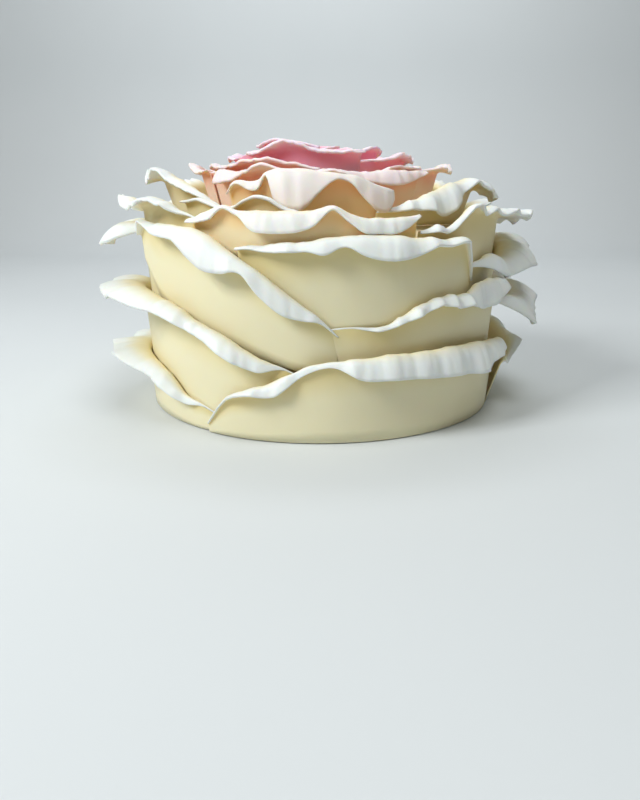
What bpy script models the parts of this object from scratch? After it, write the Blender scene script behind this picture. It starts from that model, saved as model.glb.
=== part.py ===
"""Single-tier celebration cake dressed as one open rose.

A round cake under a smooth coat of icing carries thin sugar petals. Each petal has a body
that leans on the cake and a free lip that bends outwards. Lower petals lie in front of the
ones above them, like tiles laid upside down. Sizes are in millimetres, angles in degrees
from the front, positive to the right. +Z is up and the origin is the middle of the base.
"""
import math

import bmesh
import bpy

MM = 0.001

CAKE_RADIUS = 107.0
CAKE_SIDE_HEIGHT = 110.0
CAKE_FOOT_ROUND = 1.5
CAKE_EDGE_ROUND = 9.0
CAKE_EDGE_STEPS = 4
CAKE_DOME_RISE = 13.0
CAKE_DOME_STATIONS = (0.72, 0.42)
CAKE_SIDES = 56

PETAL_THICKNESS = 1.4
PETAL_END_THICKNESS = 0.7
END_THINNING = 0.12
GAP = 0.4
WALL = CAKE_RADIUS + GAP
FLOOR_GAP = 0.8
HIDDEN_LIP = 0.8
BEND_SHARE = 0.6
CREST_SHARE = 0.14
LEVEL_HOOK = 0.6
RAISED_HOOK = 0.3
RUFFLE_START = 1.5
FULL_RUFFLE_LIP = 12.0
RING_STEP = 2.2
SIDE_SLOPE = 0.07
TUCK_EASE = 16.0
CORNER = 24.0
CORNER_DROP = 0.6
RING_UNEVENNESS = 2.5
RING_UNEVEN_TURN = 2.4
RING_TUCK = 1.25
RING_RIM = (-3.0, 0.0, 1.5, -2.0)

IVORY = ("ivory_icing", (0.86, 0.82, 0.66))
CREAM = ("cream_petal", (0.87, 0.84, 0.70))
PEACH = ("peach_petal", (0.86, 0.66, 0.52))
BLUSH = ("blush_petal", (0.88, 0.70, 0.68))
PINK = ("pink_petal", (0.74, 0.30, 0.38))

# Rows of a petal's lip, as shares of the way from its bend to its free edge.
LIP_ROWS = (0.0, 0.3, 0.55, 0.78, 1.0)


def clear_scene():
    """Remove every object that the new file came with."""
    for thing in list(bpy.data.objects):
        bpy.data.objects.remove(thing, do_unlink=True)


def icing_material(name, colour):
    """Matte sugar icing, shared by all the pieces of one colour."""
    material = bpy.data.materials.get(name)
    if material is None:
        material = bpy.data.materials.new(name)
        material.use_nodes = True
        shader = material.node_tree.nodes["Principled BSDF"]
        shader.inputs["Base Color"].default_value = (*colour, 1.0)
        shader.inputs["Roughness"].default_value = 0.6
        shader.inputs["Metallic"].default_value = 0.0
    return material


def add_object(name, tint, points, faces):
    """Make one closed body from its points in millimetres and its faces."""
    mesh = bpy.data.meshes.new(name)
    shape = bmesh.new()
    corners = [shape.verts.new((x * MM, y * MM, z * MM)) for x, y, z in points]
    for face in faces:
        shape.faces.new([corners[index] for index in face])
    bmesh.ops.recalc_face_normals(shape, faces=shape.faces)
    shape.to_mesh(mesh)
    shape.free()
    mesh.shade_smooth()
    mesh.materials.append(icing_material(*tint))
    thing = bpy.data.objects.new(name, mesh)
    bpy.context.scene.collection.objects.link(thing)
    return thing


def dome_height(radius):
    """Height of the cake's gently domed top at a distance from its axis."""
    rim = CAKE_RADIUS - CAKE_EDGE_ROUND
    share = min(radius / rim, 1.0)
    return CAKE_SIDE_HEIGHT + CAKE_DOME_RISE * (1.0 - share * share)


def cake_profile():
    """Outline of the cake from the middle of its base round to the middle of its top."""
    profile = [(CAKE_RADIUS - CAKE_FOOT_ROUND, 0.0), (CAKE_RADIUS, CAKE_FOOT_ROUND)]
    rim = CAKE_RADIUS - CAKE_EDGE_ROUND
    for step in range(CAKE_EDGE_STEPS + 1):
        turn = math.pi / 2 * step / CAKE_EDGE_STEPS
        across_edge = rim + CAKE_EDGE_ROUND * math.cos(turn)
        up_edge = CAKE_SIDE_HEIGHT - CAKE_EDGE_ROUND + CAKE_EDGE_ROUND * math.sin(turn)
        profile.append((across_edge, up_edge))
    for share in CAKE_DOME_STATIONS:
        radius = rim * share
        profile.append((radius, dome_height(radius)))
    return profile


def make_cake():
    """The iced cake itself, solid because it is uncut."""
    profile = cake_profile()
    points = []
    for radius, height in profile:
        for side in range(CAKE_SIDES):
            turn = 2.0 * math.pi * side / CAKE_SIDES
            points.append((radius * math.cos(turn), radius * math.sin(turn), height))
    faces = []
    for ring in range(len(profile) - 1):
        for side in range(CAKE_SIDES):
            after = (side + 1) % CAKE_SIDES
            low = ring * CAKE_SIDES
            high = low + CAKE_SIDES
            faces.append((low + side, low + after, high + after, high + side))
    base_centre = len(points)
    points.append((0.0, 0.0, 0.0))
    top_centre = len(points)
    points.append((0.0, 0.0, dome_height(0.0)))
    last_ring = (len(profile) - 1) * CAKE_SIDES
    for side in range(CAKE_SIDES):
        after = (side + 1) % CAKE_SIDES
        faces.append((base_centre, after, side))
        faces.append((top_centre, last_ring + side, last_ring + after))
    return add_object("cake_body", IVORY, points, faces)


def across(values, u):
    """Smooth curve through values spread evenly from a petal's left end to its right."""
    place = u * (len(values) - 1)
    index = min(int(place), len(values) - 2)
    share = place - index
    here = values[index]
    after = values[index + 1]
    before = values[index - 1] if index > 0 else 2 * here - after
    beyond = values[index + 2] if index + 2 < len(values) else 2 * after - here
    return here + share / 2 * (
        after - before
        + share * (2 * before - 5 * here + 4 * after - beyond)
        + share * share * (3 * (here - after) + beyond - before)
    )


def level(value):
    """Let a single size stand for the same size all along a petal."""
    if isinstance(value, (int, float)):
        return (value, value)
    return value


def tuck_fade(shape, u):
    """Strength of the lip: 0 where an end is tucked behind a neighbour, 1 where it is free."""
    width = shape["width"]
    fade = 1.0
    for tuck, from_end in zip(shape["tuck"], (u * width, (1.0 - u) * width)):
        if tuck > 0.0:
            ease = math.degrees(TUCK_EASE / shape["seat"][0])
            share = min(max((from_end - tuck) / ease, 0.0), 1.0)
            fade *= share * share * (3.0 - 2.0 * share)
    return fade


def corner_share(shape, u):
    """Share of a petal's full height: less at its free ends, whose upper corners are round."""
    width = math.radians(shape["width"]) * shape["seat"][0]
    share = 1.0
    for corner, from_end in zip(shape["corner"], (u * width, (1.0 - u) * width)):
        if corner > 0.0:
            inward = 1.0 - min(from_end / corner, 1.0)
            share *= 1.0 - CORNER_DROP * (1.0 - math.sqrt(1.0 - inward * inward))
    return share


def ruffle_height(ruffle, u):
    """Push of a ruffled edge out of its smooth curve, for one or two waves laid together."""
    push = 0.0
    for height, count, start in ruffle:
        push += height * math.sin(2.0 * math.pi * (count * u + start))
    return push


def lip_corners(shape, u):
    """The four guiding points of the lip's curve, as distances from the axis and heights."""
    foot = across(shape["foot"], u)
    corner = corner_share(shape, u)
    fade = tuck_fade(shape, u)
    fold = foot + (across(shape["fold"], u) - foot) * corner
    flare = HIDDEN_LIP + across(shape["flare"], u) * fade * corner
    drop = across(shape["drop"], u)
    drop = HIDDEN_LIP + (drop * corner - HIDDEN_LIP) * fade
    reach = flare + abs(drop)
    rise = min(shape["bend"], BEND_SHARE * reach)
    lift = CREST_SHARE * (rise + max(drop, 0.0))
    hook = LEVEL_HOOK + (1.0 - LEVEL_HOOK) * max(drop, 0.0) / reach
    slope = shape["slope"]
    seat = across(shape["seat"], u)
    base = seat + slope * (fold - rise - foot)
    return (
        (base, fold - rise),
        (base + slope * (rise + lift), fold + lift),
        (base + flare * hook, fold + lift + RAISED_HOOK * min(drop, 0.0)),
        (base + flare, fold - drop),
    )


def petal_foot(shape, u):
    """Place of the petal's lowest edge and the direction of its thickness."""
    lean = math.atan(shape["slope"])
    seat = across(shape["seat"], u)
    return seat, across(shape["foot"], u), (math.cos(lean), -math.sin(lean))


def lip_point(shape, u, share):
    """Place of a point on the lip's inner face and the direction of its thickness."""
    (r0, z0), (r1, z1), (r2, z2), (r3, z3) = lip_corners(shape, u)
    left = 1.0 - share
    out = left**3 * r0 + 3 * left * share * (left * r1 + share * r2) + share**3 * r3
    height = left**3 * z0 + 3 * left * share * (left * z1 + share * z2) + share**3 * z3
    along_out = left * left * (r1 - r0) + 2 * left * share * (r2 - r1) + share**2 * (r3 - r2)
    along_up = left * left * (z1 - z0) + 2 * left * share * (z2 - z1) + share**2 * (z3 - z2)
    length = math.hypot(along_out, along_up)
    facing = (along_up / length, -along_out / length)
    strength = min(1.0, (r3 - r0 + abs(z1 - z3)) / FULL_RUFFLE_LIP) * tuck_fade(shape, u)
    push = strength * ruffle_height(shape["ruffle"], u) * share**RUFFLE_START
    return out + push * facing[0], height + push * facing[1], facing


def make_petal(name, tint, left, right, foot, fold, flare, drop, seat=(WALL, WALL),
               tuck=(0, 0), corner=(0, 0), slope=SIDE_SLOPE, bend=6.0, ruffle=(),
               columns=12):
    """One sugar petal as a closed thin body, both faces split into triangles alike.

    Its body rises from foot to fold, where the lip bends outwards. The lip's free edge stands
    out from the body by flare and hangs below the fold by drop, above it where drop is less
    than nothing. An end with a tuck is hidden behind the next petal, and has no lip there.
    """
    shape = {
        "foot": level(foot),
        "fold": level(fold),
        "flare": level(flare),
        "drop": level(drop),
        "slope": slope,
        "seat": seat,
        "tuck": tuck,
        "corner": corner,
        "width": right - left,
        "bend": bend,
        "ruffle": ruffle,
    }
    inner = []
    outer = []
    for row in range(len(LIP_ROWS) + 1):
        for column in range(columns + 1):
            u = column / columns
            angle = math.radians(left + (right - left) * u)
            if row == 0:
                out, height, facing = petal_foot(shape, u)
            else:
                out, height, facing = lip_point(shape, u, LIP_ROWS[row - 1])
            fullness = min(1.0, min(u, 1.0 - u) / END_THINNING)
            thick = PETAL_END_THICKNESS + (PETAL_THICKNESS - PETAL_END_THICKNESS) * fullness
            inner.append((out * math.sin(angle), -out * math.cos(angle), height))
            out += thick * facing[0]
            height += thick * facing[1]
            outer.append((out * math.sin(angle), -out * math.cos(angle), height))
    count = len(inner)
    rows = len(LIP_ROWS) + 1
    wide = columns + 1
    faces = []
    for row in range(rows - 1):
        for column in range(columns):
            a = row * wide + column
            b = a + 1
            c = b + wide
            d = a + wide
            faces.append((a, b, c))
            faces.append((a, c, d))
            faces.append((count + a, count + c, count + b))
            faces.append((count + a, count + d, count + c))
    rim = list(range(wide))
    rim += [row * wide + columns for row in range(1, rows)]
    rim += [(rows - 1) * wide + column for column in range(columns - 1, -1, -1)]
    rim += [row * wide for row in range(rows - 2, 0, -1)]
    for here, after in zip(rim, rim[1:] + rim[:1]):
        faces.append((here, count + here, after))
        faces.append((after, count + here, count + after))
    return add_object(name, tint, inner + outer, faces)


def make_rim_petals():
    """Short petals round the cake's top edge, set first, their feet behind the next ones."""
    over = (WALL + 2.1, WALL)
    make_petal("rim_petal_front", CREAM, -37, 27, foot=98,
               fold=(117, 119, 122, 123.5, 121, 121, 121, 121, 121, 121.5, 123.2, 120.5, 117.5,
                     117.5, 117.5, 118, 119),
               flare=(6, 6, 6, 5, 6, 7, 7, 7, 7, 6, 5, 6, 7, 7, 7, 6, 4),
               drop=(2, 4, 5, 0.7, 1.5, 9.5, 10.8, 10.8, 10, 7, 1.4, 4.5, 7.2, 7.7, 7.8, 5.2, 1),
               seat=over, bend=4, columns=18)
    make_petal("rim_petal_left", CREAM, -98, -32, foot=98, fold=(120, 124, 127, 126, 113),
               flare=(9, 13, 16, 13, 3), drop=(-2, -3, 3, 1, 1), seat=over, tuck=(0, 4),
               ruffle=((3.0, 2.2, 0.1),), columns=11)
    make_petal("rim_petal_back_left", CREAM, -156, -92, foot=98, fold=(120, 122, 124, 118),
               flare=(8, 14, 14, 6), drop=(2, 0, -2, 2), seat=over, tuck=(0, 8),
               ruffle=((3.0, 2.4, 0.6),), corner=(CORNER, 0), columns=10)
    make_petal("rim_petal_back", CREAM, 140, 210, foot=98, fold=(118, 123, 121, 118),
               flare=(8, 14, 15, 6), drop=(2, -1, 2, 2), seat=over, tuck=(0, 8),
               ruffle=((3.2, 2.6, 0.2),), corner=(CORNER, 0), columns=10)
    make_petal("rim_petal_right", CREAM, 86, 146, foot=98, fold=(118, 124, 122, 117),
               flare=(6, 16, 14, 6), drop=(2, 0, 1, 2), tuck=(12, 8),
               ruffle=((3.2, 2.4, 0.8),), columns=10)


def make_upper_petals():
    """Wide petals on the upper half of the side."""
    make_petal("upper_petal_right", CREAM, 27, 96, foot=(64, 62, 62, 62),
               fold=(111, 113.2, 112.5, 117.5, 123.5, 122.5, 123, 121, 120, 119.5, 119, 118.5,
                     118, 117, 116, 114),
               flare=(3, 5, 5, 5, 6, 9, 9, 12, 16, 19, 21, 20, 18, 16, 14, 10),
               drop=(1, 3.3, 2.7, 1.5, -0.5, 2.5, 1.5, 3, 0, 4, -1, 4, 0, 4, 1, 2), bend=5,
               ruffle=((1.6, 9.4, 0.1),), columns=15)
    make_petal("upper_petal_front", CREAM, -22, 47.5, foot=(54, 54, 55, 56, 58, 60, 64, 74),
               fold=(103, 104, 105, 105.7, 106.5, 108, 109.4, 109.6, 109.4, 108.8, 108.2, 107.6,
                     107, 107.4, 104, 83),
               flare=(4, 5, 7, 8, 8, 8, 8, 9, 10, 10, 10, 9, 9, 9, 5, 1),
               drop=(1, 1.5, 3.5, 4.5, 4.5, 8, 5, 9.8, 12, 11.5, 8.5, 4.2, 3, 2.5, 2, 0),
               seat=(WALL + 0.8, WALL + 1.0, WALL + 3.0, WALL + 5.0), bend=5,
               ruffle=((0.6, 7.4, 0.3),), columns=17)
    make_petal("upper_petal_far_left", CREAM, -150, -42, foot=60,
               fold=(104, 109, 112, 113, 113, 113, 113, 113, 113, 113, 113, 106, 90, 76),
               flare=(8, 16, 21, 24, 24, 25, 25, 25, 24, 24, 24, 12, 4, 1),
               drop=(2, 4, 6, 6, 6, 7, 8, 9, 10, 12, 14, 10, 4, 0),
               seat=(WALL + 3.2, WALL + 1.5, WALL + 0.8, WALL), ruffle=((2.6, 3.4, 0.1),),
               corner=(CORNER, 0), tuck=(0, 20), columns=16)
    make_petal("upper_petal_back", CREAM, 126, 218, foot=62, fold=(100, 110, 108, 104),
               flare=(8, 22, 23, 10), drop=(2, 6, 8, 3), seat=(WALL + 3.2, WALL + 1.2),
               tuck=(0, 10), ruffle=((2.6, 3.4, 0.4),), corner=(CORNER, 0), columns=11)
    make_petal("upper_petal_left", CREAM, -62, 5, foot=(94, 72, 62, 56, 50, 44, 39, 34),
               fold=(107, 115.5, 114.5, 114.3, 114, 113.3, 112, 108.5, 102.5, 96.5, 90, 82.5, 75,
                     67.5, 58),
               flare=(3, 6, 8, 9, 10, 10, 11, 11, 11, 10, 8, 7, 5, 3, 1),
               drop=(0, 1, 0.5, 5.3, 6.5, 7.3, 13, 16.5, 11.8, 5.2, 11, 12, 7.7, 2, 0),
               seat=(WALL + 8.0, WALL + 3.8, WALL + 3.3, WALL + 3.1, WALL + 3.0), bend=5,
               columns=19)
    make_petal("upper_petal_far_right", CREAM, 45.5, 136, foot=(76, 58, 52, 52, 52),
               fold=(90, 95, 96, 94, 97, 100, 103, 104, 104, 104, 104, 104, 104, 103, 102),
               flare=(0, 6, 13, 16, 22, 25, 26, 25, 24, 24, 24, 24, 22, 18, 12),
               drop=(0, 5, 12, 10, 10, 13, 9, 6, 6, 6, 6, 6, 5, 4, 3),
               seat=(WALL + 3.0, WALL + 1.7, WALL + 1.6, WALL + 0.8, WALL), tuck=(0, 12),
               ruffle=((1.8, 4.8, 0.2),), columns=15)


def make_middle_petals():
    """Wide petals round the middle of the side, in front of the feet of the upper ones."""
    make_petal("middle_petal_back_left", CREAM, -168, -92, foot=(22, 24, 26, 28),
               fold=(66, 76, 78, 70), flare=(8, 22, 26, 20), drop=(2, 4, 7, 4),
               seat=(WALL + 4.2, WALL + 2.3, WALL + 1.2), tuck=(0, 12),
               ruffle=((2.8, 2.6, 0.3),), corner=(CORNER, 0), columns=11)
    make_petal("middle_petal_far_right", CREAM, 55, 152, foot=26,
               fold=(60, 70, 71, 72, 74, 76, 78, 78, 78, 78, 76, 74, 70),
               flare=(12, 22, 27, 29, 29, 28, 28, 28, 27, 26, 24, 20, 14),
               drop=(4, 14, 18, 14, 10, 9, 8, 8, 8, 8, 8, 7, 5),
               seat=(WALL + 1.8, WALL + 2.6, WALL + 2.4), tuck=(7, 14),
               ruffle=((2.6, 4.6, 0.2),), columns=14)
    make_petal("middle_petal_back", CREAM, 140, 202, foot=22, fold=(66, 74, 76, 72),
               flare=(8, 22, 21, 12), drop=(2, 6, 7, 4), seat=(WALL + 4.3, WALL + 1.4),
               tuck=(0, 12), ruffle=((2.8, 2.4, 0.7),), corner=(CORNER, 0), columns=9)
    make_petal("middle_petal_right", CREAM, 2, 62, foot=32, slope=0.12,
               fold=(62, 63, 63, 63.5, 69, 74, 77.5, 78, 77.5, 82.5, 84, 83.5, 80),
               flare=(1, 2, 3, 4, 5, 6, 8, 9, 9, 8, 9, 11, 6),
               drop=(1, 2, 2.5, 2, 4, 5, 4, 7, 6, 14, 14, 6, 1),
               seat=(WALL + 0.3, WALL + 1.8, WALL + 2.8, WALL + 4.3), tuck=(6, 0), bend=5,
               ruffle=((1.0, 11.5, 0.2),), columns=18)
    make_petal("middle_petal_left", CREAM, -102, -4, foot=(26, 24, 6, 5),
               fold=(74, 77, 78, 77.5, 73.5, 63, 49.5, 36),
               flare=(24, 26, 27, 25, 14, 10, 9, 1), drop=(2, 3, 4, 5, 6, 6, 8, 1),
               seat=(WALL + 2.9, WALL + 2.9), tuck=(0, 4), bend=5, ruffle=((2.2, 5.6, 0.3),),
               columns=20)


def make_low_petals():
    """Wide petals round the foot of the cake, just clear of what it stands on."""
    make_petal("low_petal_right", CREAM, 69.5, 138, foot=FLOOR_GAP,
               fold=(30, 37, 42, 44, 42, 38), flare=(6, 10, 12, 12, 11, 8),
               drop=(1, 3, 5, 7, 6, 4), seat=(WALL + 6.0, WALL + 6.2, WALL + 7.0),
               ruffle=((2.8, 3.0, 0.1),), slope=0.3, corner=(0, CORNER), columns=12)
    make_petal("low_petal_back_right", CREAM, 130, 191, foot=FLOOR_GAP, fold=(34, 42, 44, 36),
               flare=(8, 21, 21, 12), drop=(2, 5, 6, 3), seat=(WALL + 4.8, WALL + 2.6),
               tuck=(10, 10), ruffle=((2.6, 2.4, 0.5),), columns=9)
    make_petal("low_petal_back_left", CREAM, -177, -96, foot=FLOOR_GAP, fold=(32, 40, 42, 12),
               flare=(8, 21, 22, 16), drop=(2, 5, 5, 3), seat=(WALL + 4.8, WALL + 1.2),
               tuck=(0, 15), ruffle=((2.6, 2.4, 0.9),), corner=(CORNER, 0), columns=9)
    make_petal("low_petal_left", CREAM, -106, -26, foot=FLOOR_GAP,
               fold=(34, 36, 38, 38, 33, 18.5, 9), flare=(20, 23, 24, 22, 11, 6, 1),
               drop=(2, 3, 3, 4, 6, 5, 0), seat=(WALL + 3.3, WALL + 4.6), tuck=(0, 8), bend=5,
               ruffle=((2.2, 4.6, 0.5),), columns=15)
    make_petal("low_petal_front", CREAM, -33, 68, foot=FLOOR_GAP,
               fold=(6, 23.5, 30, 36, 43, 46.5, 48, 49.3, 49.4, 49.8, 50, 49.5, 48.5, 47, 45),
               flare=(1, 4, 9, 6, 2.5, 3.5, 8, 9, 9, 10, 11, 12, 12, 11, 6),
               drop=(0, 1, 2, 8, 4, 2.8, 10.5, 12.3, 13, 14.5, 15, 16, 10, 8, 4),
               seat=(WALL + 6.8, WALL + 6.1), bend=5, ruffle=((0.7, 10.6, 0.4),), columns=21)


def make_ring(name, tint, left, right, count, first, overlap, radius, foot, fold, flare, slope,
              ruffle, columns):
    """Even run of petals on the top, each with its left end tucked under the one before."""
    step = (right - left) / count
    push, waves = ruffle
    for number in range(first, first + count):
        start = left + step * (number - first)
        top = fold + RING_UNEVENNESS * math.sin(RING_UNEVEN_TURN * number)
        make_petal(f"{name}_{number}", tint, start, start + step + overlap, foot=foot,
                   fold=[top + rise for rise in RING_RIM], flare=(flare, flare, flare / 2),
                   drop=(1, 0, 1), seat=(radius, radius + RING_STEP),
                   tuck=(overlap * RING_TUCK, 0), slope=slope, bend=4,
                   ruffle=((push, waves, 0.37 * number),), columns=columns)


def make_top_petals():
    """Rings of petals on the top, paler and taller towards the middle."""
    make_petal("outer_top_petal_front", PEACH, -33, 24.6, foot=114.2,
               fold=(131, 135, 136, 135, 136, 140, 141, 141, 141, 140.5, 140, 139.5, 139, 138.5,
                     137.5, 135.5, 133.5, 132, 131),
               flare=(3, 4, 5, 4, 4, 4, 6, 7, 7, 7, 7, 6, 5, 5, 6, 7, 7, 6, 3),
               drop=(2, 1.7, 2, 4, 5, 1.5, 15.5, 19.5, 20.5, 18.5, 12, 6.5, 2.8, 3.5, 7.5, 11.5,
                     13.3, 12, 5),
               seat=(84, 86.2), slope=0.33, bend=4, columns=18)
    make_petal("outer_top_petal_near", CREAM, -46, -6, foot=111,
               fold=(125.5, 126.5, 127, 125.3, 123.2, 123.2, 126, 128.3, 127, 122.7, 120.5),
               flare=4, drop=(0.5, 0.5, 0.5, 1, 1.5, 1.5, 0.5, 0.5, 1, 1.5, 0.5),
               seat=(97.8, 97.8), slope=0.3, bend=2, columns=10)
    make_petal("outer_top_petal_left", CREAM, -106, -32, foot=113,
               fold=(136, 140, 140, 138, 120), flare=(9, 11, 12, 10, 3),
               drop=(-1, -2, 0, 1, 1), seat=(88, 90.2), tuck=(8, 0), slope=0.33, bend=4,
               ruffle=((3.0, 2.6, 0.1),), columns=10)
    make_petal("outer_top_petal_right", CREAM, 19, 80, foot=113,
               fold=(120, 122, 124, 126.5, 129, 132, 134.5, 136.5, 137.5, 138, 137, 136, 135, 134,
                     133),
               flare=(1, 3, 6, 8, 10, 11, 11, 12, 14, 16, 17, 16, 15, 12, 8),
               drop=(0.5, 2, 3.6, 5.5, 9, 14.3, 11.5, 5, 1, 5, 9, 9, 9.5, 8, 3),
               seat=(88.5, 88.5), slope=0.33, bend=4, ruffle=((1.2, 7.6, 0.5),), columns=13)
    make_ring("outer_top_petal", CREAM, 94, 254, count=3, first=1, overlap=6, radius=88,
              foot=113, fold=134, flare=12, slope=0.33, ruffle=(4.0, 2.4), columns=8)
    make_petal("inner_top_petal_front", BLUSH, -66, 50, foot=118.5, fold=(142, 142, 141, 142),
               flare=(8, 11, 11, 7), drop=(1, 8, 0, 0, 3, 8, 1), seat=(66, 68.2), tuck=(8, 0),
               slope=0.26, bend=4, ruffle=((1.6, 4.3, 0.1),), columns=13)
    make_ring("inner_top_petal", BLUSH, 44, 294, count=3, first=1, overlap=6, radius=66,
              foot=118.5, fold=143, flare=10, slope=0.26, ruffle=(3.5, 2.4), columns=8)
    make_ring("blush_petal", BLUSH, -100, 260, count=4, first=1, overlap=10, radius=57,
              foot=120.5, fold=144, flare=8, slope=0.2, ruffle=(3.0, 1.8), columns=8)


def make_heart():
    """The pink middle of the rose, its petals wrapped round a closed bud."""
    make_ring("pink_petal", PINK, -80, 280, count=4, first=1, overlap=16, radius=45,
              foot=122.5, fold=152, flare=9, slope=0.2, ruffle=(3.4, 2.4), columns=8)
    make_ring("heart_petal", PINK, -140, 220, count=3, first=1, overlap=20, radius=29,
              foot=124, fold=157, flare=6, slope=0.12, ruffle=(2.4, 1.8), columns=8)
    make_petal("heart_bud", PINK, 0, 330, foot=124.5, fold=(157, 159, 160, 158),
               flare=(2, 4, 3, 4), drop=0, seat=(3.0, 17.0), slope=0.03, bend=2.0,
               ruffle=((0.8, 3.0, 0.0),), columns=10)


def build_cake():
    clear_scene()
    make_cake()
    make_rim_petals()
    make_upper_petals()
    make_middle_petals()
    make_low_petals()
    make_top_petals()
    make_heart()


build_cake()
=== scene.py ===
"""Looks of a round celebration cake dressed as one open rose of sugar paste petals.

Each section makes one piece or one group of like pieces, in the order the cake is dressed:
the iced cake, then the petals from the top edge down to the foot, then the rose on top.
Sizes of the cake and its petals are millimetres and angles are degrees from the front,
positive to the right. The floor, the lights and the camera are placed in metres.
"""
import math

import bmesh
import bpy
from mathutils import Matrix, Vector


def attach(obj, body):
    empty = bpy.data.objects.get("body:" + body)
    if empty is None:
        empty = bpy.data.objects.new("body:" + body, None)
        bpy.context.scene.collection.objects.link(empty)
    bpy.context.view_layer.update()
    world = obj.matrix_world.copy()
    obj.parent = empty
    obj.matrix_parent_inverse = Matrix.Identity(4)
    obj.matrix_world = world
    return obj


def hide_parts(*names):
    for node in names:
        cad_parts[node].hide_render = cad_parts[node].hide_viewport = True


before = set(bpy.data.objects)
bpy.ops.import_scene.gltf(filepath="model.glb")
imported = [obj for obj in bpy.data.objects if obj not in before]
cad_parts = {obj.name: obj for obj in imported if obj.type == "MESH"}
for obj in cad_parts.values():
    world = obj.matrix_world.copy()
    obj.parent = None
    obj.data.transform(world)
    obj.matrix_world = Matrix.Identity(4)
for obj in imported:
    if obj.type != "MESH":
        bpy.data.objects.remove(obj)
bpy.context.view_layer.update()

# The iced cake
# A filled round sponge under a rolled coat of ivory sugar paste, smoothed by hand over the
# edge. It shows only in the gaps between petals.
MM = 0.001
CAKE_RADIUS = 107.0
CAKE_SIDE_HEIGHT = 110.0
CAKE_FOOT_ROUND = 1.5
CAKE_EDGE_ROUND = 9.0
CAKE_EDGE_STEPS = 10
CAKE_DOME_RISE = 13.0
CAKE_DOME_STEPS = 12
CAKE_SIDES = 192
WELD_DISTANCE = 0.00001
SHARP_ANGLE = 40.0
# The coat's two colours are a dark tan, painted shade for the gaps between petals where it shows.
COAT_SHADE_TAN = (0.72, 0.60, 0.36)
COAT_SHADE_TAN_LIGHT = (0.80, 0.71, 0.48)


def dome_height(radius):
    """Height of the domed top at a distance from the axis."""
    rim = CAKE_RADIUS - CAKE_EDGE_ROUND
    share = min(radius / rim, 1.0)
    return CAKE_SIDE_HEIGHT + CAKE_DOME_RISE * (1.0 - share * share)


def coat_profile():
    """Outline of the coat from the middle of the base round to the middle of the top."""
    profile = [(0.0, 0.0), (CAKE_RADIUS - CAKE_FOOT_ROUND, 0.0), (CAKE_RADIUS, CAKE_FOOT_ROUND)]
    rim = CAKE_RADIUS - CAKE_EDGE_ROUND
    for step in range(CAKE_EDGE_STEPS + 1):
        turn = math.pi / 2 * step / CAKE_EDGE_STEPS
        height = CAKE_SIDE_HEIGHT - CAKE_EDGE_ROUND + CAKE_EDGE_ROUND * math.sin(turn)
        profile.append((rim + CAKE_EDGE_ROUND * math.cos(turn), height))
    for step in range(1, CAKE_DOME_STEPS + 1):
        radius = rim * (1.0 - step / CAKE_DOME_STEPS)
        profile.append((radius, dome_height(radius)))
    return profile


def make_coat():
    """Spin the outline about the axis and weld the poles."""
    shape = bmesh.new()
    corners = [shape.verts.new((r * MM, 0.0, z * MM)) for r, z in coat_profile()]
    for here, after in zip(corners, corners[1:]):
        shape.edges.new((here, after))
    bmesh.ops.spin(
        shape,
        geom=shape.verts[:] + shape.edges[:],
        axis=(0.0, 0.0, 1.0),
        angle=2.0 * math.pi,
        steps=CAKE_SIDES,
        use_merge=True,
    )
    bmesh.ops.remove_doubles(shape, verts=shape.verts[:], dist=WELD_DISTANCE)
    bmesh.ops.recalc_face_normals(shape, faces=shape.faces[:])
    mesh = bpy.data.meshes.new("icing_coat")
    shape.to_mesh(mesh)
    shape.free()
    mesh.shade_smooth()
    mesh.set_sharp_from_angle(angle=math.radians(SHARP_ANGLE))
    coat = bpy.data.objects.new("icing_coat", mesh)
    bpy.context.scene.collection.objects.link(coat)
    return coat


def add_node(tree, kind, inputs=(), output=0, **settings):
    """Add a node, set or link its inputs, and return one of its outputs."""
    made = tree.nodes.new(kind)
    for key, value in settings.items():
        setattr(made, key, value)
    places = inputs.items() if isinstance(inputs, dict) else enumerate(inputs)
    for place, value in places:
        if isinstance(value, bpy.types.NodeSocket):
            tree.links.new(value, made.inputs[place])
        else:
            made.inputs[place].default_value = value
    return made.outputs[output]


def paste_finish(name, roughness, bump_height, glow=0.25):
    """Start a sugar paste material: a soft matte shader with a faint grain in its surface."""
    material = bpy.data.materials.new(name)
    material.use_nodes = True
    tree = material.node_tree
    shader = tree.nodes["Principled BSDF"]
    shader.inputs["Roughness"].default_value = roughness
    shader.inputs["Subsurface Weight"].default_value = glow
    shader.inputs["Subsurface Radius"].default_value = (1.0, 0.62, 0.32)
    shader.inputs["Subsurface Scale"].default_value = 0.004
    shader.inputs["Sheen Weight"].default_value = 0.08
    place = add_node(tree, "ShaderNodeTexCoord", output="Object")
    grain = add_node(tree, "ShaderNodeTexNoise", {"Vector": place, "Scale": 900.0, "Detail": 4.0})
    swell = add_node(tree, "ShaderNodeTexNoise", {"Vector": place, "Scale": 45.0, "Detail": 2.0})
    height = add_node(tree, "ShaderNodeMath", [grain, 0.25], operation="MULTIPLY")
    height = add_node(tree, "ShaderNodeMath", [height, swell], operation="ADD")
    bump = add_node(tree, "ShaderNodeBump", {"Height": height, "Strength": 0.5,
                                             "Distance": bump_height}, output="Normal")
    tree.links.new(bump, shader.inputs["Normal"])
    return material, tree, shader, place


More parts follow.
